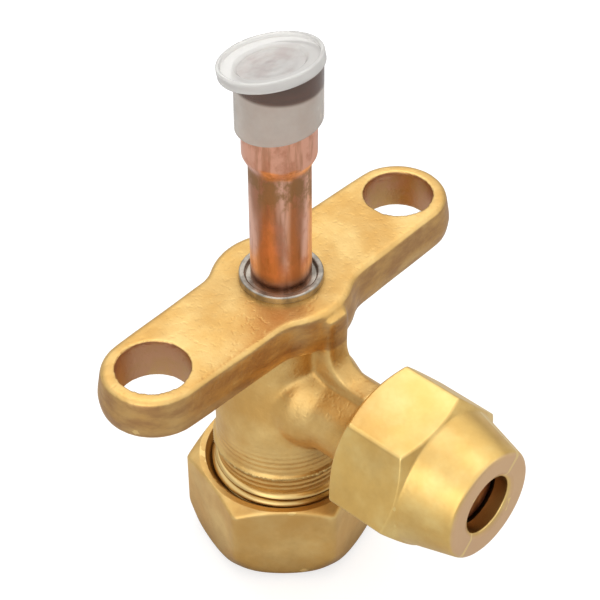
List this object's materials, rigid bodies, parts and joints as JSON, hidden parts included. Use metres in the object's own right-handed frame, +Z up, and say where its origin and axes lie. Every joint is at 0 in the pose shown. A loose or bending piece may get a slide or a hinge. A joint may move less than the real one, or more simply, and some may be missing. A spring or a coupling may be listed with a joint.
{
  "type": "refrigerant service valve",
  "caption": "Forged brass angle stop valve with a flat fixing plate, brazed copper stub tube under a plastic dust cap, flare connection with nut and hexagonal stem cap.",
  "frame": {"origin": "on the stub tube's axis, on the upper face of the fixing plate, midway between its two holes", "axes": "+Z up along the tube, +X along the line of the plate holes, the flare connection points to -Y"},
  "size_m": [0.0484, 0.039, 0.0649],
  "materials": {
    "forged_brass": "blasted forging, satin",
    "nut_brass": "satin machined flats on a forging",
    "cap_brass": "satin forging",
    "turned_brass": "bright turned",
    "copper": "drawn copper, polished",
    "braze_alloy": "dull silver",
    "cap_plastic": "translucent soft plastic",
    "seal_rubber": "smooth",
    "ring_steel": "spring steel",
    "gasket_plastic": "satin"
  },
  "bodies": {
    "body": {"valve_body": "forged_brass", "copper_tube": "copper", "braze_ring": "braze_alloy", "stem_snap_ring": "ring_steel"},
    "stem_seal": {"stem_o_ring": "seal_rubber"},
    "stem": {"valve_stem": "turned_brass"},
    "cap_seal": {"stem_cap_gasket": "gasket_plastic"},
    "stem_cap": {"stem_cap": "cap_brass"},
    "flare_seal": {"flare_bonnet": "copper"},
    "flare_nut": {"flare_nut": "nut_brass"},
    "dust_cap": {"dust_cap": "cap_plastic"}
  },
  "joints": [
    {"name": "stem_travel", "type": "slide", "parent": "body", "child": "stem_seal", "axis": [0, 0, -1], "range_m": [0, 0.004]},
    {"name": "stem_turn", "type": "hinge", "parent": "stem_seal", "child": "stem", "pos_m": [0, 0, -0.02], "axis": [0, 0, -1], "range_deg": [0, 1440]},
    {"name": "cap_travel", "type": "slide", "parent": "body", "child": "cap_seal", "axis": [0, 0, -1], "range_m": [0, 0.0072]},
    {"name": "cap_turn", "type": "hinge", "parent": "cap_seal", "child": "stem_cap", "pos_m": [0, 0, -0.03], "axis": [0, 0, -1], "range_deg": [0, 2592]},
    {"name": "nut_travel", "type": "slide", "parent": "body", "child": "flare_seal", "axis": [0, -1, 0], "range_m": [0, 0.00914]},
    {"name": "nut_turn", "type": "hinge", "parent": "flare_seal", "child": "flare_nut", "pos_m": [0, -0.02, -0.0141], "axis": [0, -1, 0], "range_deg": [0, 2592]},
    {"name": "dust_cap_pull", "type": "slide", "parent": "body", "child": "dust_cap", "axis": [0, 0, 1], "range_m": [0, 0.012]}
  ],
  "couplings": [
    {"joint": "stem_turn", "follows": "stem_travel", "rad_per_m": 6283.2},
    {"joint": "cap_turn", "follows": "cap_travel", "rad_per_m": 6283.2},
    {"joint": "nut_turn", "follows": "nut_travel", "rad_per_m": 4947.4}
  ]
}
